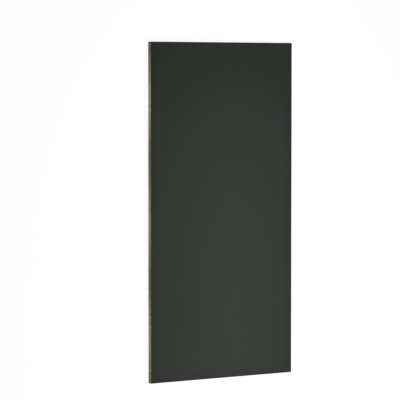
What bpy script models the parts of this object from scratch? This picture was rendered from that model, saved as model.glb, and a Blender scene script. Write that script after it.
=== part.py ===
"""A full 4 ft by 8 ft decorative laminate-faced board, lying flat with its decor face up.

Units are metres and +Z is up. The origin is at the middle of the board's underside. +X runs
across the width, +Y runs along the length, and +Z points out of the decor face.

The board is two pieces: a sawn wood-based core, and a thin decorative laminate that is bonded
over the whole of its upper face and then trimmed flush with the core's four edges.
"""

import bmesh
import bpy

FOOT = 0.3048

# The sheet as it is sold
SHEET_WIDTH = 4 * FOOT
SHEET_LENGTH = 8 * FOOT

# The build-up, from the underside to the decor face
CORE_THICKNESS = 0.035
GLUE_LINE = 0.0003
LAMINATE_THICKNESS = 0.001

# The finish of the edges: the corners and the lower arris are sanded, the laminate is filed
CORNER_RADIUS = 0.001
BACK_ARRIS_RADIUS = 0.0006
TRIM_BEVEL = 0.0003

CORNER_SEGMENTS = 4
ARRIS_SEGMENTS = 3

# Colours are linear RGB
CORE_COLOR = (0.34, 0.25, 0.16)
CORE_ROUGHNESS = 0.8
DECOR_COLOR = (0.034, 0.037, 0.034)
DECOR_ROUGHNESS = 0.55


def clear_scene():
    """Removes every object that the file opened with."""
    for obj in list(bpy.data.objects):
        bpy.data.objects.remove(obj, do_unlink=True)


def make_collection(name):
    """Adds a collection to the scene and returns it."""
    collection = bpy.data.collections.new(name)
    bpy.context.scene.collection.children.link(collection)
    return collection


def make_material(name, color, roughness):
    """A plain Principled material in one colour, with no metal in it."""
    material = bpy.data.materials.new(name)
    material.use_nodes = True
    shader = material.node_tree.nodes["Principled BSDF"]
    shader.inputs["Base Color"].default_value = (*color, 1.0)
    shader.inputs["Roughness"].default_value = roughness
    shader.inputs["Metallic"].default_value = 0.0
    return material


def is_upright(edge):
    """True for an edge that runs from the lower face to the upper one."""
    lower, upper = sorted(vert.co.z for vert in edge.verts)
    return upper - lower > 0.5 * edge.calc_length()


def borders_face(edge, up):
    """True for an edge round the upper face, or round the lower one where up is -1."""
    faces_that_way = [face.normal.z * up > 0.5 for face in edge.link_faces]
    return any(faces_that_way) and not all(faces_that_way)


def make_blank(name, thickness, eased_side):
    """A rectangular blank of the sheet's width and length, with its underside at height 0.

    Its four upright corners are rounded. The edges round the eased side, 1 for the upper face
    and -1 for the lower one, carry a full bevel weight for the Bevel modifier.
    """
    blank = bmesh.new()
    bmesh.ops.create_cube(blank, size=1.0)
    bmesh.ops.scale(blank, vec=(SHEET_WIDTH, SHEET_LENGTH, thickness), verts=blank.verts)
    bmesh.ops.translate(blank, vec=(0.0, 0.0, thickness / 2), verts=blank.verts)
    bmesh.ops.bevel(
        blank,
        geom=[edge for edge in blank.edges if is_upright(edge)],
        offset=CORNER_RADIUS,
        offset_type="OFFSET",
        segments=CORNER_SEGMENTS,
        profile=0.5,
        affect="EDGES",
    )
    blank.normal_update()
    weight = blank.edges.layers.float.new("bevel_weight_edge")
    for edge in blank.edges:
        edge[weight] = 1.0 if borders_face(edge, eased_side) else 0.0
    mesh = bpy.data.meshes.new(name)
    blank.to_mesh(mesh)
    blank.free()
    return bpy.data.objects.new(name, mesh)


def ease_edges(piece, name, width, segments):
    """Bevels the edges of the piece that carry a bevel weight."""
    bevel = piece.modifiers.new(name, "BEVEL")
    bevel.limit_method = "WEIGHT"
    bevel.offset_type = "OFFSET"
    bevel.width = width
    bevel.segments = segments


def make_core_board(collection):
    """The wood-based core, bare on its back and its four sawn edges."""
    core = make_blank("core_board", CORE_THICKNESS, eased_side=-1)
    ease_edges(core, "sanded back arris", BACK_ARRIS_RADIUS, ARRIS_SEGMENTS)
    core.data.materials.append(make_material("sawn wood core", CORE_COLOR, CORE_ROUGHNESS))
    collection.objects.link(core)
    return core


def make_decor_laminate(collection, core):
    """The decorative laminate, one glue line above the core, with its top edge filed."""
    laminate = make_blank("decor_laminate", LAMINATE_THICKNESS, eased_side=1)
    ease_edges(laminate, "filed trim bevel", TRIM_BEVEL, segments=1)
    laminate.data.materials.append(
        make_material("charcoal matt laminate", DECOR_COLOR, DECOR_ROUGHNESS)
    )
    collection.objects.link(laminate)
    laminate.parent = core
    laminate.location.z = CORE_THICKNESS + GLUE_LINE
    return laminate


def main():
    clear_scene()
    board = make_collection("decorative_laminate_board")
    core = make_core_board(board)
    make_decor_laminate(board, core)
    bpy.context.view_layer.update()


main()
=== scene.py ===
"""A 4 ft by 8 ft laminate-faced board, dressed for close views.

The fixed frame gives the board's sizes and place. Each operator below makes one piece: the
charcoal laminate, the sawn wood core and the glue line between them. The last one adds the
stage. Units are metres, +Z is up, and the decor face looks up.
"""

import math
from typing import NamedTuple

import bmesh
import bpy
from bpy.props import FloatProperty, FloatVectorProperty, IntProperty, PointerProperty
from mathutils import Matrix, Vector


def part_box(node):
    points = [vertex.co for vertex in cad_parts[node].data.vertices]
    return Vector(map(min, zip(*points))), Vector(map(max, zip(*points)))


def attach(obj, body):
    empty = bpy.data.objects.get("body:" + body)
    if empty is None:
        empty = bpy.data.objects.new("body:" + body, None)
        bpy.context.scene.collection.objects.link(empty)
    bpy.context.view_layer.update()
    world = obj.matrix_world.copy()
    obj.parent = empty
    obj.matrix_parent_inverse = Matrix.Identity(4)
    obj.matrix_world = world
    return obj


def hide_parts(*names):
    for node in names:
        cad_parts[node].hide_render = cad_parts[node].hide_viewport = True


bl_info = {
    "name": "Laminate-Faced Board",
    "version": (1, 0, 0),
    "blender": (4, 5, 0),
    "location": "3D View > Sidebar > Board",
    "description": "Finishes for a laminate-faced board: decor face, sawn core and glue line",
    "category": "Object",
}

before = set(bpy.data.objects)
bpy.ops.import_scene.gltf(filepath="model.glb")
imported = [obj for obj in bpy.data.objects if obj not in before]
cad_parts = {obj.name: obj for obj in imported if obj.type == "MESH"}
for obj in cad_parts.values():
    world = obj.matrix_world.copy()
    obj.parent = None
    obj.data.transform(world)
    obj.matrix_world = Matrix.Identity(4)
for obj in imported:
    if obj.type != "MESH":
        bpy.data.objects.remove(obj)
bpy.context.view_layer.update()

# What the frame gives
CORE_LOW, CORE_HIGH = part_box("core_board")
LAMINATE_LOW, LAMINATE_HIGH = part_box("decor_laminate")
WIDTH = CORE_HIGH.x - CORE_LOW.x
LENGTH = CORE_HIGH.y - CORE_LOW.y
CORE_THICKNESS = CORE_HIGH.z - CORE_LOW.z
GLUE_GAP = LAMINATE_LOW.z - CORE_HIGH.z
LAMINATE_THICKNESS = LAMINATE_HIGH.z - LAMINATE_LOW.z

QUARTER_TURN = math.pi / 2
FULL_TURN = 2 * math.pi
MERGE_DISTANCE = 1e-6

# How finely the pieces are divided: along a side, round a corner and up the edge
SIDE_STEPS = 64
CORNER_STEPS = 4
ROWS_PER_PLY = 4.0
LAMINATE_ROWS = 2
BEAD_ROWS = 8


class Waves(NamedTuple):
    """How many waves a noise has to the metre, along a surface and across it."""

    along: float
    across: float


# The relief of the sawn edges, where a veneer's middle row is this share of the way up it
PLY_MIDDLE = 0.43
GLUE_LINE_WAVES = Waves(along=2.6, across=500.0)
CUT_WAVES = 9.0
CUT_STEP_PER_PLY = 3.7
CORE_SEED = 7

# The grain of the sawn edges and the lines of the saw, which lean a little
VENEER_LEVEL = "veneer_level"
STREAKS = Waves(along=14.0, across=3800.0)
PORES = Waves(along=1400.0, across=2600.0)
SAW_LINES = Waves(along=300.0, across=60.0)
SAW_MARKS = Waves(along=45.0, across=5.0)
LEAF_WAVES = 2.2
SAWN_RELIEF = 0.00012

# Where the dark glue fades in, as shares of a veneer's thickness from its middle
GLUE_FROM, GLUE_TO = 0.43, 0.49

# The open joints: their reach to each side, its blur and their steps from one veneer to the next
JOINT_REACH, JOINT_BLUR = 0.0011, 0.0004
JOINT_STEP_PER_PLY, JOINT_STEP_PER_EDGE = 0.618, 0.29

# The slow change of tone along an edge
DARK_TONE, TONE_RISE = 0.6, 0.62
TONE_WAVES = 1.7
TONE_WANDER = 0.12
TONE_STEP_TO_FAR_EDGE = 0.37

# The grain of the back and the rings of its figure
BACK_FIGURE = Waves(along=0.42, across=2.4)
BACK_GRAIN = Waves(along=9.0, across=700.0)
BACK_FLECKS = Waves(along=60.0, across=1500.0)
BACK_CLOUDS = Waves(along=0.8, across=1.6)
RINGS_IN_FIGURE = 24.0
RINGS_ACROSS = 7.0
BACK_RELIEF = 0.0001

# The bead of glue, whose middle and swell are shares of its depth
BEAD_MIDDLE = 0.55
BEAD_SWELL = 0.3
BEAD_SPREAD = 0.2
BEAD_WAVES = 30.0
BEAD_SEED = 3
DARK_GLUE = (0.075, 0.042, 0.018)
LIGHT_GLUE = (0.16, 0.095, 0.042)


class Bands(NamedTuple):
    """Where the edges' bands start on a map, and how high each band is, in texels."""

    ends: float
    left: float
    right: float
    height: float


class FlatPlace(NamedTuple):
    """Where a flat face lies on a map: the middle of its height and the height, in texels."""

    middle: float
    height: float


# Across a piece's map, its surfaces take these shares of the width
MAP_NAME = "OFBake"
MAP_MARGIN = 0.005
STRAIGHT_SHARE = 0.98
CORNER_SHARE = 0.005
END_SHARE = 0.49

# Up the core's map, a veneer is 7 texels high, and each glue line has a row of texels to itself
MAP_TEXELS = 1024.0
WIDE_BANDS = Bands(ends=40.5, left=228.5, right=416.5, height=175.0)
CORE_BACK_PLACE = FlatPlace(middle=810.0, height=410.0)
CORE_TOP_PLACE = FlatPlace(middle=18.0, height=20.0)

# Up the laminate's map, the trimmed side takes this share of a band and the bevel the rest
TRIMMED_SHARE = 0.6
NARROW_BANDS = Bands(ends=40.0, left=96.0, right=152.0, height=42.0)
DECOR_PLACE = FlatPlace(middle=610.0, height=804.0)
LAMINATE_BACK_PLACE = FlatPlace(middle=18.0, height=20.0)

# The floor glows white, and more strongly far from the board, where less light falls on it
FLOOR_SIDE = 80.0
FLOOR_DROP = 0.0002
FLOOR_GLOW_SHARE = 0.7
FLOOR_BOUNCE = 0.5
NEAR_WHITE, FAR_WHITE = 1.243, 1.31
FAR_FROM, FAR_TO = 2.5, 8.0

# The lamp and the camera
LAMP_PLACE = (0.22, -0.85, 1.3)
LAMP_SIZE = (0.4, 3.6)
SENSOR_WIDTH = 36.0
CAMERA_AIM = (-0.195, 0.083, LAMINATE_HIGH.z)


class Socket:
    """One output of a node. Python's arithmetic on it adds Math nodes."""

    def __init__(self, nodes, output):
        self.nodes = nodes
        self.output = output

    def math(self, operation, *others):
        """A Math node with this value first and the others after it."""
        values = dict(enumerate((self, *others)))
        return self.nodes.add("ShaderNodeMath", {"operation": operation}, values)

    def also(self, key):
        """Another output of the same node."""
        return Socket(self.nodes, find_socket(self.output.node.outputs, key))

    def __add__(self, other):
        return self.math("ADD", other)

    __radd__ = __add__

    def __sub__(self, other):
        return self.math("SUBTRACT", other)

    def __rsub__(self, other):
        return self.nodes.add("ShaderNodeMath", {"operation": "SUBTRACT"}, {0: other, 1: self})

    def __mul__(self, other):
        return self.math("MULTIPLY", other)

    def __truediv__(self, other):
        return self.math("DIVIDE", other)

    def __gt__(self, other):
        return self.math("GREATER_THAN", other)

    def __lt__(self, other):
        return self.math("LESS_THAN", other)


class Nodes:
    """Adds nodes to one shader or geometry tree."""

    def __init__(self, tree):
        self.tree = tree

    def add(self, kind, settings=None, values=None, output=0):
        """Adds one node: first its settings, then the values or links of its sockets."""
        node = self.tree.nodes.new(kind)
        for name, setting in (settings or {}).items():
            if name == "stops":
                set_stops(node.color_ramp, setting)
            else:
                setattr(node, name, setting)
        for key, value in (values or {}).items():
            socket = find_socket(node.inputs, key)
            if isinstance(value, Socket):
                self.tree.links.new(value.output, socket)
            else:
                socket.default_value = value
        return Socket(self, find_socket(node.outputs, output)) if node.outputs else None


def find_socket(sockets, key):
    """The socket at a place in the list, or with an identifier, or else a name."""
    if isinstance(key, int):
        return sockets[key]
    for socket in sockets:
        if socket.identifier == key:
            return socket
    return sockets[key]


def set_stops(color_ramp, stops):
    """Gives a colour ramp its stops, each a place and an RGB colour."""
    while len(color_ramp.elements) < len(stops):
        color_ramp.elements.new(1.0)
    for element, (place, color) in zip(color_ramp.elements, stops):
        element.position = place
        element.color = (*color, 1.0)


class LaminateLook(bpy.types.PropertyGroup):
    """The decor face and the pressed paper core under it."""

    decor: FloatVectorProperty(
        name="Decor colour",
        description="Colour of the plain charcoal decor face",
        subtype="COLOR",
        min=0.0,
        max=1.0,
        default=(0.0275, 0.0305, 0.0274),
    )
    kraft: FloatVectorProperty(
        name="Paper core colour",
        description="Colour of the pressed brown paper that shows on the trimmed edge",
        subtype="COLOR",
        min=0.0,
        max=1.0,
        default=(0.055, 0.030, 0.017),
    )
    decor_depth: FloatProperty(
        name="Decor layer",
        description="Depth of the charcoal layer above the paper core",
        subtype="DISTANCE",
        unit="LENGTH",
        min=0.0,
        default=0.00014,
    )
    trim_bevel: FloatProperty(
        name="Trim bevel",
        description="Width of the bevel that is filed round the decor face",
        subtype="DISTANCE",
        unit="LENGTH",
        min=0.0,
        default=0.0003,
    )
    roughness: FloatProperty(
        name="Roughness",
        description="How matt the suede finish is",
        subtype="FACTOR",
        min=0.0,
        max=1.0,
        default=0.66,
    )
    suede_depth: FloatProperty(
        name="Suede depth",
        description="Height of the fine texture that the press plate leaves",
        subtype="DISTANCE",
        unit="LENGTH",
        min=0.0,
        default=0.00012,
    )
    # Painted shade: a darker border drawn into the decor colour along the long edges and the lower
    # end
    border_width: FloatProperty(
        name="Border width",
        description="Width of the slightly darker border along the long edges and the lower end",
        subtype="DISTANCE",
        unit="LENGTH",
        min=0.0,
        default=0.09,
    )
    painted_border_shade: FloatProperty(
        name="Border shade",
        description="How much darker the decor is at that border",
        subtype="FACTOR",
        min=0.0,
        max=1.0,
        default=0.11,
    )


class CoreLook(bpy.types.PropertyGroup):
    """The veneers of the core, on its back and on its sawn edges."""

    plies: IntProperty(
        name="Plies",
        description="Veneers that the core is glued up from",
        min=3,
        default=25,
    )
    corner_radius: FloatProperty(
        name="Corner radius",
        description="Radius of the board's four upright corners",
        subtype="DISTANCE",
        unit="LENGTH",
        min=0.0,
        default=0.001,
    )
    arris_radius: FloatProperty(
        name="Arris radius",
        description="Radius of the sanded edge round the back",
        subtype="DISTANCE",
        unit="LENGTH",
        min=0.0,
        default=0.0006,
    )
    ply_waver: FloatProperty(
        name="Ply waver",
        description="How far the veneers' glue lines stray up and down along an edge",
        subtype="DISTANCE",
        unit="LENGTH",
        min=0.0,
        default=0.00016,
    )
    groove_depth: FloatProperty(
        name="Groove depth",
        description="How far each glue line lies below the veneers beside it",
        subtype="DISTANCE",
        unit="LENGTH",
        min=0.0,
        default=0.00009,
    )
    groove_width: FloatProperty(
        name="Groove width",
        description="Width of each glue line's groove",
        subtype="DISTANCE",
        unit="LENGTH",
        min=0.0,
        default=0.00024,
    )
    saw_wander: FloatProperty(
        name="Saw wander",
        description="How far the cut face strays inwards along an edge",
        subtype="DISTANCE",
        unit="LENGTH",
        min=0.0,
        default=0.00012,
    )
    glue_depth: FloatProperty(
        name="Glue depth",
        description="How far the glue line reaches in under the laminate",
        subtype="DISTANCE",
        unit="LENGTH",
        min=0.0,
        default=0.0008,
    )
    long_grain: FloatVectorProperty(
        name="Long grain colour",
        description="Colour of a veneer cut along its grain",
        subtype="COLOR",
        min=0.0,
        max=1.0,
        default=(0.50, 0.397, 0.256),
    )
    end_grain: FloatVectorProperty(
        name="End grain colour",
        description="Colour of a veneer cut across its grain",
        subtype="COLOR",
        min=0.0,
        max=1.0,
        default=(0.36, 0.273, 0.17),
    )
    back_veneer: FloatVectorProperty(
        name="Back veneer colour",
        description="Colour of the bare veneer on the board's back",
        subtype="COLOR",
        min=0.0,
        max=1.0,
        default=(0.43, 0.33, 0.21),
    )
    joint_pitch: FloatProperty(
        name="Joint pitch",
        description="Width of each sheet of veneer, from one open joint to the next",
        subtype="DISTANCE",
        unit="LENGTH",
        min=0.01,
        default=1.27,
    )
    tone_pitch: FloatProperty(
        name="Tone pitch",
        description="Length over which an edge's tone goes from light to dark and back",
        subtype="DISTANCE",
        unit="LENGTH",
        min=0.01,
        default=0.842,
    )
    tone_start: FloatProperty(
        name="Tone start",
        description="Where along the board the tone is lightest",
        subtype="DISTANCE",
        unit="LENGTH",
        default=0.80,
    )
    tone_gain: FloatProperty(
        name="Tone gain",
        description="How much lighter the light stretches get with each metre towards the +Y end",
        min=0.0,
        default=0.3,
    )


class StageLook(bpy.types.PropertyGroup):
    """The floor, the lamp, the surrounding light and the camera."""

    floor: FloatVectorProperty(
        name="Floor colour",
        description="Colour of the plain pale floor",
        subtype="COLOR",
        min=0.0,
        max=1.0,
        default=(0.80, 0.80, 0.80),
    )
    surround: FloatProperty(
        name="Surround",
        description="Strength of the even light from all round",
        min=0.0,
        default=0.4,
    )
    key_power: FloatProperty(
        name="Key power",
        description="Power of the long soft lamp above the board",
        subtype="POWER",
        unit="POWER",
        min=0.0,
        default=25.0,
    )
    camera_distance: FloatProperty(
        name="Camera distance",
        description="Distance from the camera to the point that it looks at",
        subtype="DISTANCE",
        unit="LENGTH",
        min=0.1,
        default=16.617,
    )
    camera_swing: FloatProperty(
        name="Camera swing",
        description="How far the camera leans from straight above towards -X",
        subtype="ANGLE",
        default=math.radians(32.73),
    )
    camera_lift: FloatProperty(
        name="Camera lift",
        description="How far the camera leans towards the board's +Y end",
        subtype="ANGLE",
        default=math.radians(3.03),
    )
    lens: FloatProperty(
        name="Lens",
        description="Focal length, for a sensor that is 36 mm wide",
        subtype="DISTANCE_CAMERA",
        unit="CAMERA",
        min=1.0,
        default=207.46,
    )


def make_principled(name, constants):
    """A material with its Principled shader. Returns it, its Nodes and the shader."""
    material = bpy.data.materials.new(name)
    material.use_nodes = True
    shader = material.node_tree.nodes["Principled BSDF"]
    for socket, value in constants.items():
        shader.inputs[socket].default_value = value
    return material, Nodes(material.node_tree), shader


def feed(nodes, shader, sources):
    """Links each source to the shader's socket of that name."""
    for name, source in sources.items():
        nodes.tree.links.new(source.output, shader.inputs[name])


def own_place(nodes):
    """The surface's own coordinates, in metres."""
    return nodes.add("ShaderNodeTexCoord", output="Object")


def split(nodes, vector):
    """The X, Y and Z of a vector."""
    x = nodes.add("ShaderNodeSeparateXYZ", values={"Vector": vector})
    return x, x.also("Y"), x.also("Z")


def join(nodes, x=0.0, y=0.0, z=0.0):
    """A vector from three values."""
    return nodes.add("ShaderNodeCombineXYZ", values={"X": x, "Y": y, "Z": z})


def noise(nodes, place, waves=1.0, detail=2.0, roughness=0.5):
    """Smooth noise about 0.5, from about 0 to 1, with its waves counted to a unit of place."""
    values = {"Vector": place, "Scale": waves, "Detail": detail, "Roughness": roughness}
    return nodes.add("ShaderNodeTexNoise", values=values)


def swing(value, by):
    """A noise made to swing about 0, by so much."""
    return (value - 0.5) * by


def ramp(nodes, value, start, end):
    """0 at the start and before it, 1 at the end and past it, and smooth between."""
    values = {"Value": value, "From Min": start, "From Max": end}
    return nodes.add("ShaderNodeMapRange", {"interpolation_type": "SMOOTHSTEP"}, values)


def mix_colors(nodes, amount, first, second):
    """The first colour, with the second laid over it by the amount."""
    values = {"Factor_Float": amount, "A_Color": first, "B_Color": second}
    return nodes.add("ShaderNodeMix", {"data_type": "RGBA"}, values, "Result_Color")


def toned(nodes, color, tone):
    """A colour made lighter or darker by a factor that varies over the surface."""
    first = color if isinstance(color, Socket) else tuple(color)
    values = {0: first, "Scale": tone}
    return nodes.add("ShaderNodeVectorMath", {"operation": "SCALE"}, values)


def bump(nodes, height, distance):
    """A normal from a height, which is counted in shares of a real distance."""
    return nodes.add("ShaderNodeBump", values={"Height": height, "Distance": distance})


def laminate_material(look):
    """Charcoal suede on top, with painted shade along its long edges and lower end, and pressed
    brown paper where the edge is trimmed.
    """
    constants = {"Metallic": 0.0, "Specular IOR Level": 0.1}
    material, nodes, shader = make_principled("charcoal_suede_laminate", constants)
    place = own_place(nodes)
    x, y, height = split(nodes, place)
    from_side = WIDTH / 2 - x.math("ABSOLUTE")
    from_border = from_side.math("MINIMUM", y + LENGTH / 2)
    # Painted shade: the decor colour is darkened within a border of the long edges and the lower
    # end
    border = 1.0 - ramp(nodes, from_border, 0.0, look.border_width)

    pebble = noise(nodes, place, waves=1700.0)
    press = noise(nodes, place, waves=480.0, detail=3.0, roughness=0.6)
    clumps = noise(nodes, place, waves=110.0, detail=3.0)
    cloud = noise(nodes, place, waves=4.0, detail=4.0)
    texture = swing(pebble, by=1.3) + swing(press, by=1.3)
    tone = 1.0 + texture + swing(clumps, by=0.2) + swing(cloud, by=0.12)
    face = toned(nodes, look.decor, tone * (1.0 - border * look.painted_border_shade))

    fibre = noise(nodes, place, waves=900.0, detail=3.0)
    paper = toned(nodes, look.kraft, 0.4 + fibre * 1.2)
    under = height < LAMINATE_HIGH.z - look.decor_depth

    sources = {
        "Base Color": mix_colors(nodes, under, face, paper),
        "Roughness": look.roughness + swing(press, by=0.3) + swing(cloud, by=0.15),
        "Normal": bump(nodes, pebble * 0.6 + press * 0.4, look.suede_depth),
    }
    feed(nodes, shader, sources)
    return material


def slow_tone(nodes, look, along, edge, far):
    """The slow change along an edge from dark wood to light, which no two edges share."""
    wander = noise(nodes, join(nodes, along * TONE_WAVES, edge * 2.0), detail=1.0)
    from_start = along - look.tone_start + swing(wander, by=TONE_WANDER)
    turns = from_start / look.tone_pitch + far * TONE_STEP_TO_FAR_EDGE
    lightness = (turns * FULL_TURN).math("COSINE") * 0.5 + 0.5
    rise = TONE_RISE + along.math("MAXIMUM", 0.0) * look.tone_gain
    return DARK_TONE + lightness * rise


def open_joint(nodes, look, along, shift, pores):
    """1 in the ragged joints between the sheets of a veneer, and 0 in the sheets."""
    sheet = (along / look.joint_pitch + shift).math("FRACT")
    from_joint = (sheet - 0.5).math("ABSOLUTE") * look.joint_pitch
    reach = pores * JOINT_REACH
    return 1.0 - ramp(nodes, from_joint, reach, reach + JOINT_BLUR)


def sawn_edge_material(look):
    """Veneers in turn along and across their grain, with the marks of the saw across them.

    Each noise is stretched along the edge or up it. It also moves on by a step from one veneer and
    one edge to the next, so that no two are alike.
    """
    constants = {"Metallic": 0.0, "Specular IOR Level": 0.3}
    material, nodes, shader = make_principled("sawn_veneer_edge", constants)
    x, y, height = split(nodes, own_place(nodes))
    facing = nodes.add("ShaderNodeNewGeometry", output="True Normal")
    long_edge = split(nodes, facing)[0].math("ABSOLUTE") > 0.5
    along = x + (y - x) * long_edge
    far = y + (x - y) * long_edge > 0.0
    edge = long_edge * 2.0 + far

    veneer = nodes.add("ShaderNodeAttribute", {"attribute_name": VENEER_LEVEL}, output="Fac")
    ply = veneer.math("FLOOR")
    along_grain = (ply.math("FLOORED_MODULO", 2.0) - long_edge).math("ABSOLUTE")
    across_grain = 1.0 - along_grain
    wood = mix_colors(nodes, along_grain, (*look.end_grain, 1.0), (*look.long_grain, 1.0))

    leaf = noise(nodes, join(nodes, along * LEAF_WAVES, ply * 7.7, edge * 4.5), detail=1.0)
    step = ply * 5.3 + edge * 2.7
    streak_place = join(nodes, along * STREAKS.along, step, height * STREAKS.across)
    streaks = noise(nodes, streak_place, detail=3.0, roughness=0.6)
    step = ply * 3.1 + edge * 2.7
    pores = noise(nodes, join(nodes, along * PORES.along, step, height * PORES.across))
    open_pores = ramp(nodes, pores, 0.55, 0.7) * across_grain
    grain = swing(streaks, by=1.1) * along_grain + swing(leaf, by=0.7) - open_pores * 0.3

    saw_slant = along * SAW_LINES.along + height * SAW_LINES.across
    saw = noise(nodes, join(nodes, saw_slant, edge * 1.5))
    mark_slant = along * SAW_MARKS.along + height * SAW_MARKS.across
    marks = noise(nodes, join(nodes, mark_slant, edge * 3.0), detail=0.0)
    light_marks = ramp(nodes, marks, 0.66, 0.72)
    dark_marks = 1.0 - ramp(nodes, marks, 0.28, 0.34)
    sawn = 1.0 + swing(saw, by=0.4) + light_marks * 0.22 - dark_marks * 0.22

    from_middle = (veneer.math("FRACT") - 0.5).math("ABSOLUTE")
    glue = ramp(nodes, from_middle, GLUE_FROM, GLUE_TO)
    shift = ply * JOINT_STEP_PER_PLY + edge * JOINT_STEP_PER_EDGE
    joint = open_joint(nodes, look, along, shift, pores) * across_grain * (1.0 - glue)
    tone = (slow_tone(nodes, look, along, edge, far) + grain) * sawn
    relief = saw * 0.4 + swing(streaks, by=0.6) * along_grain - open_pores * 0.6 - joint
    sources = {
        "Base Color": toned(nodes, wood, tone * (1.0 - glue * 0.5) * (1.0 - joint * 0.75)),
        "Roughness": 0.78 + swing(saw, by=0.2) - light_marks * 0.12,
        "Normal": bump(nodes, relief, SAWN_RELIEF),
    }
    feed(nodes, shader, sources)
    return material


def back_veneer_material(look):
    """Bare rotary-cut veneer, its grain running along the board."""
    constants = {"Metallic": 0.0, "Specular IOR Level": 0.3}
    material, nodes, shader = make_principled("bare_back_veneer", constants)
    x, y, _ = split(nodes, own_place(nodes))

    def stretched(waves):
        return join(nodes, x * waves.across, y * waves.along)

    figure = noise(nodes, stretched(BACK_FIGURE), detail=3.0, roughness=0.4)
    ring = (figure * RINGS_IN_FIGURE + x * RINGS_ACROSS).math("FRACT")
    late_wood = ramp(nodes, ring, 0.2, 0.92) * (1.0 - ramp(nodes, ring, 0.92, 1.0))
    grain = noise(nodes, stretched(BACK_GRAIN), detail=3.0, roughness=0.6)
    fleck = noise(nodes, stretched(BACK_FLECKS), detail=1.0)
    cloud = noise(nodes, stretched(BACK_CLOUDS))
    tone = 1.05 - late_wood * 0.3 + swing(grain, by=0.4) + swing(cloud, by=0.25)
    dark_fleck = ramp(nodes, fleck, 0.66, 0.75)

    sources = {
        "Base Color": toned(nodes, look.back_veneer, tone * (1.0 - dark_fleck * 0.3)),
        "Roughness": 0.7 + swing(grain, by=0.2),
        "Normal": bump(nodes, grain * 0.7 + fleck * 0.3, BACK_RELIEF),
    }
    feed(nodes, shader, sources)
    return material


def glue_material():
    """Dried contact glue, an amber brown that darkens in patches."""
    constants = {"Metallic": 0.0, "Specular IOR Level": 0.4}
    material, nodes, shader = make_principled("dried_contact_glue", constants)
    patches = noise(nodes, own_place(nodes), waves=60.0, detail=3.0)
    stops = [(0.3, DARK_GLUE), (0.7, LIGHT_GLUE)]
    color = nodes.add("ShaderNodeValToRGB", {"stops": stops}, {"Fac": patches})
    feed(nodes, shader, {"Base Color": color, "Roughness": 0.35 + patches * 0.3})
    return material


def new_tree(name, inputs):
    """A geometry tree with named inputs. Returns its Nodes and the inputs as sockets."""
    tree = bpy.data.node_groups.new(name, "GeometryNodeTree")
    tree.interface.new_socket("Geometry", in_out="INPUT", socket_type="NodeSocketGeometry")
    for label, kind in inputs.items():
        tree.interface.new_socket(label, in_out="INPUT", socket_type=f"NodeSocket{kind}")
    tree.interface.new_socket("Geometry", in_out="OUTPUT", socket_type="NodeSocketGeometry")
    nodes = Nodes(tree)
    start = nodes.add("NodeGroupInput")
    return nodes, {label: start.also(label) for label in inputs}


def end_tree(nodes, geometry):
    """Ends a tree with real geometry in place of any instances."""
    made = nodes.add("GeometryNodeRealizeInstances", values={"Geometry": geometry})
    nodes.add("NodeGroupOutput", values={"Geometry": made})


def finished_piece(name, tree, values):
    """Runs a geometry tree and returns its result as a plain mesh object at the origin."""
    maker = bpy.data.objects.new(name + "_maker", bpy.data.meshes.new(name + "_start"))
    bpy.context.scene.collection.objects.link(maker)
    modifier = maker.modifiers.new("make", "NODES")
    modifier.node_group = tree
    for item in tree.interface.items_tree:
        if item.item_type == "SOCKET" and item.name in values:
            modifier[item.identifier] = values[item.name]
    graph = bpy.context.evaluated_depsgraph_get()
    mesh = bpy.data.meshes.new_from_object(maker.evaluated_get(graph))
    bpy.data.objects.remove(maker, do_unlink=True)
    mesh.name = name
    piece = bpy.data.objects.new(name, mesh)
    bpy.context.scene.collection.objects.link(piece)
    return piece


OUTLINE_INPUTS = {
    "Width": "Float",
    "Length": "Float",
    "Corner Radius": "Float",
    "Side Steps": "Int",
    "Corner Steps": "Int",
}


def corner_centre(side, half_width, half_length):
    """The centre of the arc that ends a side. Sides 0 to 3 face -Y, +X, +Y and -X."""
    turn = (side - 0.5) * QUARTER_TURN
    x = turn.math("COSINE") * math.sqrt(2.0) * half_width
    y = turn.math("SINE") * math.sqrt(2.0) * half_length
    return x, y


def outline_columns(sizes):
    """The steps round the whole outline: four sides, each with the corner that ends it."""
    return (sizes["Side Steps"] + sizes["Corner Steps"]) * 4.0


def outline_side(sizes, column):
    """The side, 0 to 3, that a column of the outline is on."""
    return (column / (sizes["Side Steps"] + sizes["Corner Steps"])).math("FLOOR")


def share_of_side(sizes, column, side):
    """How far a column is along its side's straight run, and then round the side's corner."""
    step = column - side * (sizes["Side Steps"] + sizes["Corner Steps"])
    along = (step / sizes["Side Steps"]).math("MINIMUM", 1.0)
    bend = (step - sizes["Side Steps"]).math("MAXIMUM", 0.0) / sizes["Corner Steps"]
    return along, bend


def rim_place(nodes, sizes, column, height, inset):
    """The point over a column of the board's outline, at a height and a distance in from it."""
    side = outline_side(sizes, column)
    along, bend = share_of_side(sizes, column, side)

    radius = sizes["Corner Radius"]
    half_width = sizes["Width"] / 2.0 - radius
    half_length = sizes["Length"] / 2.0 - radius
    x_from, y_from = corner_centre(side - 1.0, half_width, half_length)
    x_to, y_to = corner_centre(side, half_width, half_length)
    outward = (side + bend - 1.0) * QUARTER_TURN
    reach = radius - inset
    x = x_from + (x_to - x_from) * along + outward.math("COSINE") * reach
    y = y_from + (y_to - y_from) * along + outward.math("SINE") * reach
    return join(nodes, x, y, height)


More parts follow.
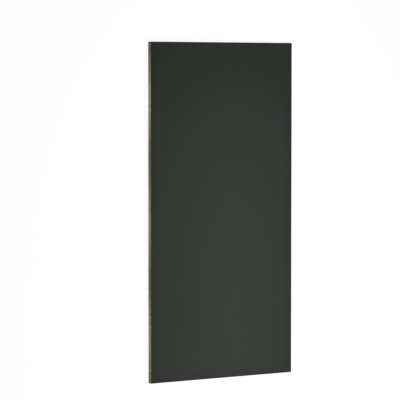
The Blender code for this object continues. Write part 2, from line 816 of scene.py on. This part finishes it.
def rim_grid(nodes, sizes, rows):
    """A grid with a column for each step round the outline, and its rows up the edge.

    Returns it with each point's column and row, and the column that each face starts from.
    """
    columns = outline_columns(sizes)
    values = {
        "Size X": columns,
        "Size Y": rows - 1.0,
        "Vertices X": columns + 1.0,
        "Vertices Y": rows,
    }
    grid = nodes.add("GeometryNodeMeshGrid", values=values)
    x, y, _ = split(nodes, nodes.add("GeometryNodeInputPosition"))
    column = (x + columns / 2.0).math("ROUND")
    row = (y + (rows - 1.0) / 2.0).math("ROUND")
    per_face = {"domain": "FACE", "data_type": "FLOAT"}
    face_middle = nodes.add("GeometryNodeFieldOnDomain", per_face, {0: x + columns / 2.0})
    return grid, column, row, face_middle.math("FLOOR")


def moved(nodes, geometry, place):
    """The geometry with its points at their new places."""
    values = {"Geometry": geometry, "Position": place}
    return nodes.add("GeometryNodeSetPosition", values=values)


def with_value(nodes, geometry, name, value, data_type="FLOAT"):
    """The geometry with a named value at each face corner."""
    settings = {"data_type": data_type, "domain": "CORNER"}
    values = {"Geometry": geometry, "Name": name, "Value": value}
    return nodes.add("GeometryNodeStoreNamedAttribute", settings, values)


def with_map(nodes, geometry, place):
    """The geometry with a UV map in which each face corner has its place."""
    return with_value(nodes, geometry, MAP_NAME, place, data_type="FLOAT2")


def wearing(nodes, geometry, material):
    """The geometry in one material."""
    values = {"Geometry": geometry, "Material": material}
    return nodes.add("GeometryNodeSetMaterial", values=values)


def merged(nodes, parts):
    """The parts as one mesh, with the points that meet made one."""
    joined = nodes.add("GeometryNodeJoinGeometry")
    for part in parts:
        nodes.tree.links.new(part.output, joined.output.node.inputs["Geometry"])
    values = {"Geometry": joined, "Distance": MERGE_DISTANCE}
    return nodes.add("GeometryNodeMergeByDistance", values=values)


def shaded(nodes, geometry, smooth):
    """The geometry with its faces shaded smooth or flat."""
    values = {"Geometry": geometry, "Shade Smooth": smooth}
    return nodes.add("GeometryNodeSetShadeSmooth", values=values)


def edge_map(nodes, sizes, column, face_column, level, bands):
    """Lays each long edge across the map in a band, and the two ends side by side in one."""
    side = outline_side(sizes, face_column)
    along, bend = share_of_side(sizes, column, side)
    share = along * STRAIGHT_SHARE + bend * CORNER_SHARE
    is_long = side.math("FLOORED_MODULO", 2.0)
    end_share = share * END_SHARE + side / 4.0
    u = end_share + (share - end_share) * is_long + MAP_MARGIN

    long_band = bands.right - (side - 1.0) / 2.0 * (bands.right - bands.left)
    band = bands.ends + (long_band - bands.ends) * is_long
    return join(nodes, u, (band + level * bands.height) / MAP_TEXELS)


def veneer_level(sizes, row):
    """How many veneers lie below a row of the sawn edge, with its share of the one that it is in.

    Each veneer has a row at its lower glue line, at the lip above that, about its middle and at
    the lip below its upper glue line.
    """
    ply = (row / ROWS_PER_PLY).math("FLOOR")
    step = row - ply * ROWS_PER_PLY
    lip = sizes["Groove Width"] * sizes["Plies"] / sizes["Thickness"] / 2.0
    share = (step > 0.5) * lip + (step > 1.5) * (PLY_MIDDLE - lip)
    return ply + share + (step > 2.5) * (1.0 - PLY_MIDDLE - lip)


def ply_height_and_inset(nodes, sizes, column, row):
    """The height of a row of the sawn edge, and how far in from the outline it lies."""
    level = veneer_level(sizes, row) / sizes["Plies"]
    even_height = level * sizes["Thickness"]
    x, y, _ = split(nodes, rim_place(nodes, sizes, column, even_height, 0.0))
    waves = GLUE_LINE_WAVES
    wave_place = join(nodes, x * waves.along, y * waves.along, even_height * waves.across)
    waver = swing(noise(nodes, wave_place), by=2.0) * sizes["Ply Waver"]
    from_faces = level * (1.0 - level) * 4.0
    height = even_height + waver * from_faces

    ply = (row / ROWS_PER_PLY).math("FLOOR")
    last_row = sizes["Plies"] * ROWS_PER_PLY
    in_groove = (row - ply * ROWS_PER_PLY < 0.5) * (row > 0.5) * (row < last_row - 0.5)
    cut_step = ply * CUT_STEP_PER_PLY + sizes["Seed"]
    wander = noise(nodes, join(nodes, x * CUT_WAVES, y * CUT_WAVES, cut_step))

    arris = sizes["Arris Radius"]
    below = (arris - height).math("MAXIMUM", 0.0)
    rounding = arris - (arris * arris - below * below).math("SQRT")
    inset = wander * sizes["Saw Wander"] + in_groove * sizes["Groove Depth"] + rounding
    return height, inset


def cap(nodes, sizes, rim, flat_place, looks_down=False):
    """A flat face inside a rim. The rim is a function from a column to its height and inset."""
    points = {"Vertices": outline_columns(sizes)}
    disc = nodes.add("GeometryNodeMeshCircle", {"fill_type": "NGON"}, points)
    column = nodes.add("GeometryNodeInputIndex")
    height, inset = rim(column)
    face = moved(nodes, disc, rim_place(nodes, sizes, column, height, inset))
    if looks_down:
        face = nodes.add("GeometryNodeFlipFaces", values={"Mesh": face})
    x, y, _ = split(nodes, nodes.add("GeometryNodeInputPosition"))
    u = y / sizes["Length"] * STRAIGHT_SHARE + 0.5
    v = (x / sizes["Width"] * flat_place.height + flat_place.middle) / MAP_TEXELS
    return with_map(nodes, face, join(nodes, u, v))


def core_tree():
    """The sawn core: its veneers stand in fine relief round the edge, and caps close it."""
    inputs = OUTLINE_INPUTS | {
        "Thickness": "Float",
        "Plies": "Int",
        "Ply Waver": "Float",
        "Groove Width": "Float",
        "Groove Depth": "Float",
        "Arris Radius": "Float",
        "Saw Wander": "Float",
        "Seed": "Int",
        "Edge Material": "Material",
        "Back Material": "Material",
    }
    nodes, sizes = new_tree("sawn_core", inputs)
    # A value node holds 0, which is the first row
    first_row = nodes.add("ShaderNodeValue")
    last_row = sizes["Plies"] * ROWS_PER_PLY

    def rim(row):
        return lambda column: ply_height_and_inset(nodes, sizes, column, row)

    grid, column, row, face_column = rim_grid(nodes, sizes, last_row + 1.0)
    height, inset = ply_height_and_inset(nodes, sizes, column, row)
    veneers = veneer_level(sizes, row)
    level = veneers / sizes["Plies"]
    edge = with_map(nodes, grid, edge_map(nodes, sizes, column, face_column, level, WIDE_BANDS))
    edge = with_value(nodes, edge, VENEER_LEVEL, veneers)
    edge = moved(nodes, edge, rim_place(nodes, sizes, column, height, inset))
    edge = wearing(nodes, edge, sizes["Edge Material"])
    back = cap(nodes, sizes, rim(first_row), CORE_BACK_PLACE, looks_down=True)
    top = cap(nodes, sizes, rim(last_row), CORE_TOP_PLACE)
    faces = wearing(nodes, merged(nodes, [back, top]), sizes["Back Material"])
    end_tree(nodes, shaded(nodes, merged(nodes, [edge, faces]), False))
    return nodes.tree


def laminate_tree():
    """The decor laminate: a trimmed side, a filed bevel over it, and two flat faces."""
    inputs = OUTLINE_INPUTS | {
        "Level": "Float",
        "Thickness": "Float",
        "Trim Bevel": "Float",
        "Rows": "Int",
        "Material": "Material",
    }
    nodes, sizes = new_tree("trimmed_laminate", inputs)
    bevel = sizes["Trim Bevel"]
    side_height = sizes["Thickness"] - bevel
    grid, column, row, face_column = rim_grid(nodes, sizes, sizes["Rows"] + 1.0)
    over_side = (row > 0.5) * side_height
    over_bevel = (row > 1.5) * bevel
    height = sizes["Level"] + over_side + over_bevel
    level = (row > 0.5) * TRIMMED_SHARE + (row > 1.5) * (1.0 - TRIMMED_SHARE)
    edge = with_map(nodes, grid, edge_map(nodes, sizes, column, face_column, level, NARROW_BANDS))
    edge = moved(nodes, edge, rim_place(nodes, sizes, column, height, over_bevel))

    top = sizes["Level"] + sizes["Thickness"]
    back_rim, decor_rim = (sizes["Level"], 0.0), (top, bevel)
    back = cap(nodes, sizes, lambda column: back_rim, LAMINATE_BACK_PLACE, looks_down=True)
    decor = cap(nodes, sizes, lambda column: decor_rim, DECOR_PLACE)
    skin = wearing(nodes, merged(nodes, [edge, back, decor]), sizes["Material"])
    end_tree(nodes, shaded(nodes, skin, False))
    return nodes.tree


def glue_tree():
    """A thin bead of glue that follows the outline and closes the gap under the laminate."""
    inputs = OUTLINE_INPUTS | {
        "Level": "Float",
        "Thickness": "Float",
        "Depth": "Float",
        "Rows": "Int",
        "Seed": "Int",
        "Material": "Material",
    }
    nodes, sizes = new_tree("glue_bead", inputs)
    grid, column, row, face_column = rim_grid(nodes, sizes, sizes["Rows"] + 1.0)
    round_share = row / sizes["Rows"]
    turn = round_share * FULL_TURN
    height = sizes["Level"] + turn.math("SINE") * (sizes["Thickness"] / 2.0)
    x, y, _ = split(nodes, rim_place(nodes, sizes, column, height, 0.0))
    spread = noise(nodes, join(nodes, x * BEAD_WAVES, y * BEAD_WAVES, sizes["Seed"]))
    swell = BEAD_SWELL + spread * BEAD_SPREAD
    inset = sizes["Depth"] * (BEAD_MIDDLE - turn.math("COSINE") * swell)
    place = edge_map(nodes, sizes, column, face_column, round_share, WIDE_BANDS)
    bead = with_map(nodes, grid, place)
    bead = moved(nodes, bead, rim_place(nodes, sizes, column, height, inset))
    bead = wearing(nodes, merged(nodes, [bead]), sizes["Material"])
    end_tree(nodes, shaded(nodes, bead, True))
    return nodes.tree


def outline_values(look):
    """The outline that all three pieces share."""
    return {
        "Width": WIDTH,
        "Length": LENGTH,
        "Corner Radius": look.corner_radius,
        "Side Steps": SIDE_STEPS,
        "Corner Steps": CORNER_STEPS,
    }


def make_core(look):
    """The core with its sawn edges and its bare back."""
    values = outline_values(look) | {
        "Thickness": CORE_THICKNESS,
        "Plies": look.plies,
        "Ply Waver": look.ply_waver,
        "Groove Width": look.groove_width,
        "Groove Depth": look.groove_depth,
        "Arris Radius": look.arris_radius,
        "Saw Wander": look.saw_wander,
        "Seed": CORE_SEED,
        "Edge Material": sawn_edge_material(look),
        "Back Material": back_veneer_material(look),
    }
    return finished_piece("sawn_core_board", core_tree(), values)


def make_laminate(look, core_look):
    """The laminate, trimmed to the core's outline."""
    values = outline_values(core_look) | {
        "Level": LAMINATE_LOW.z,
        "Thickness": LAMINATE_THICKNESS,
        "Trim Bevel": look.trim_bevel,
        "Rows": LAMINATE_ROWS,
        "Material": laminate_material(look),
    }
    return finished_piece("pressed_decor_laminate", laminate_tree(), values)


def make_glue_bead(look):
    """The line of glue that shows between the core and the laminate."""
    values = outline_values(look) | {
        "Level": (CORE_HIGH.z + LAMINATE_LOW.z) / 2,
        "Thickness": GLUE_GAP,
        "Depth": look.glue_depth,
        "Rows": BEAD_ROWS,
        "Seed": BEAD_SEED,
        "Material": glue_material(),
    }
    return finished_piece("glue_line", glue_tree(), values)


def seen_ray(nodes):
    """1 for a ray from the camera, from a gloss or through glass, and 0 for any other."""
    camera = nodes.add("ShaderNodeLightPath", output="Is Camera Ray")
    gloss, glass = camera.also("Is Glossy Ray"), camera.also("Is Transmission Ray")
    return camera.math("MAXIMUM", gloss.math("MAXIMUM", glass))


def floor_material(look):
    """A pale floor that shows white, keeps the board's shadow and is clear from below."""
    material = bpy.data.materials.new("pale_floor")
    material.cycles.emission_sampling = "NONE"
    material.use_nodes = True
    material.node_tree.nodes.clear()
    nodes = Nodes(material.node_tree)
    paint = nodes.add("ShaderNodeBsdfDiffuse", values={"Color": (*look.floor, 1.0)})
    x, y, _ = split(nodes, own_place(nodes))
    distance = (x * x + y * y).math("SQRT")
    shown = NEAR_WHITE + ramp(nodes, distance, FAR_FROM, FAR_TO) * (FAR_WHITE - NEAR_WHITE)
    glow = FLOOR_BOUNCE + seen_ray(nodes) * (shown - FLOOR_BOUNCE)
    white = nodes.add("ShaderNodeEmission", values={"Strength": glow})
    top = nodes.add("ShaderNodeMixShader", values={0: FLOOR_GLOW_SHARE, 1: paint, 2: white})
    clear = nodes.add("ShaderNodeBsdfTransparent")
    below = nodes.add("ShaderNodeNewGeometry", output="Backfacing")
    surface = nodes.add("ShaderNodeMixShader", values={0: below, 1: top, 2: clear})
    nodes.add("ShaderNodeOutputMaterial", values={"Surface": surface})
    return material


def make_floor(look):
    """One wide flat floor, just under the board's back."""
    mesh = bpy.data.meshes.new("floor")
    plan = bmesh.new()
    bmesh.ops.create_grid(plan, x_segments=1, y_segments=1, size=FLOOR_SIDE / 2)
    bmesh.ops.translate(plan, vec=(0.0, 0.0, CORE_LOW.z - FLOOR_DROP), verts=plan.verts)
    plan.to_mesh(mesh)
    plan.free()
    mesh.materials.append(floor_material(look))
    floor = bpy.data.objects.new("floor", mesh)
    bpy.context.scene.collection.objects.link(floor)
    return floor


def make_world(look):
    """Even light from all round, which is seen as white."""
    world = bpy.data.worlds.new("soft_studio")
    world.use_nodes = True
    nodes = Nodes(world.node_tree)
    seen = seen_ray(nodes)
    strength = seen + (1.0 - seen) * look.surround
    background = world.node_tree.nodes["Background"]
    background.inputs["Color"].default_value = (1.0, 1.0, 1.0, 1.0)
    nodes.tree.links.new(strength.output, background.inputs["Strength"])
    bpy.context.scene.world = world


def aimed(name, data, place, aim):
    """An object at a place, looking at an aim, with the board's +Y end at the top of its view."""
    back = (Vector(place) - Vector(aim)).normalized()
    right = Vector((0.0, 1.0, 0.0)).cross(back).normalized()
    turn = Matrix((right, back.cross(right), back)).transposed()
    thing = bpy.data.objects.new(name, data)
    thing.matrix_world = Matrix.Translation(place) @ turn.to_4x4()
    bpy.context.scene.collection.objects.link(thing)
    return thing


def make_lamp(look):
    """A long soft lamp that hangs over the board, in line with it, and isn't itself seen."""
    light = bpy.data.lights.new("key_lamp", "AREA")
    light.energy = look.key_power
    light.shape = "RECTANGLE"
    light.size, light.size_y = LAMP_SIZE
    below = (LAMP_PLACE[0], LAMP_PLACE[1], 0.0)
    aimed("key_lamp", light, LAMP_PLACE, below).visible_camera = False


def make_camera(look):
    """The camera, at the photograph's angle on the board."""
    data = bpy.data.cameras.new("camera")
    data.lens = look.lens
    data.sensor_width = SENSOR_WIDTH
    aim = Vector(CAMERA_AIM)
    across = math.cos(look.camera_lift)
    towards = Vector((
        -across * math.sin(look.camera_swing),
        math.sin(look.camera_lift),
        across * math.cos(look.camera_swing),
    ))
    bpy.context.scene.camera = aimed("camera", data, aim + towards * look.camera_distance, aim)


class BOARD_OT_press_laminate(bpy.types.Operator):
    """Puts the suede laminate with its trimmed paper edge in the place of the plain one"""

    bl_idname = "board.press_laminate"
    bl_label = "Decor Laminate"

    def execute(self, context):
        laminate = make_laminate(context.scene.laminate_look, context.scene.core_look)
        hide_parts("decor_laminate")
        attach(laminate, "root")
        return {"FINISHED"}


class BOARD_OT_saw_core(bpy.types.Operator):
    """Puts the veneered core with its sawn edges in the place of the plain one"""

    bl_idname = "board.saw_core"
    bl_label = "Sawn Core"

    def execute(self, context):
        core = make_core(context.scene.core_look)
        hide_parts("core_board")
        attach(core, "root")
        return {"FINISHED"}


class BOARD_OT_lay_glue_line(bpy.types.Operator):
    """Lays the line of glue between the core and the laminate"""

    bl_idname = "board.lay_glue_line"
    bl_label = "Glue Line"

    def execute(self, context):
        bead = make_glue_bead(context.scene.core_look)
        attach(bead, "root")
        return {"FINISHED"}


class BOARD_OT_set_stage(bpy.types.Operator):
    """Sets the floor, the light and the camera"""

    bl_idname = "board.set_stage"
    bl_label = "Stage"

    def execute(self, context):
        look = context.scene.stage_look
        make_floor(look)
        make_world(look)
        make_lamp(look)
        make_camera(look)
        context.scene.view_settings.view_transform = "Standard"
        return {"FINISHED"}


class BOARD_PT_pieces(bpy.types.Panel):
    """The board's pieces and its stage"""

    bl_idname = "BOARD_PT_pieces"
    bl_label = "Laminate-Faced Board"
    bl_space_type = "VIEW_3D"
    bl_region_type = "UI"
    bl_category = "Board"

    def draw(self, context):
        for look, operators in PANEL_ROWS.items():
            box = self.layout.box()
            group = getattr(context.scene, look)
            for name in group.bl_rna.properties.keys():
                if name not in ("rna_type", "name"):
                    box.prop(group, name)
            for operator in operators:
                box.operator(operator.bl_idname)


LOOKS = {
    "laminate_look": LaminateLook,
    "core_look": CoreLook,
    "stage_look": StageLook,
}
PANEL_ROWS = {
    "laminate_look": (BOARD_OT_press_laminate,),
    "core_look": (BOARD_OT_saw_core, BOARD_OT_lay_glue_line),
    "stage_look": (BOARD_OT_set_stage,),
}
CLASSES = (
    LaminateLook,
    CoreLook,
    StageLook,
    BOARD_OT_press_laminate,
    BOARD_OT_saw_core,
    BOARD_OT_lay_glue_line,
    BOARD_OT_set_stage,
    BOARD_PT_pieces,
)


def register():
    for each in CLASSES:
        bpy.utils.register_class(each)
    for name, group in LOOKS.items():
        setattr(bpy.types.Scene, name, PointerProperty(type=group))


def unregister():
    for name in LOOKS:
        delattr(bpy.types.Scene, name)
    for each in reversed(CLASSES):
        bpy.utils.unregister_class(each)


def main():
    """Makes the pieces and the stage."""
    register()
    bpy.ops.board.press_laminate()
    bpy.ops.board.saw_core()
    bpy.ops.board.lay_glue_line()
    bpy.ops.board.set_stage()


if __name__ == "__main__":
    main()
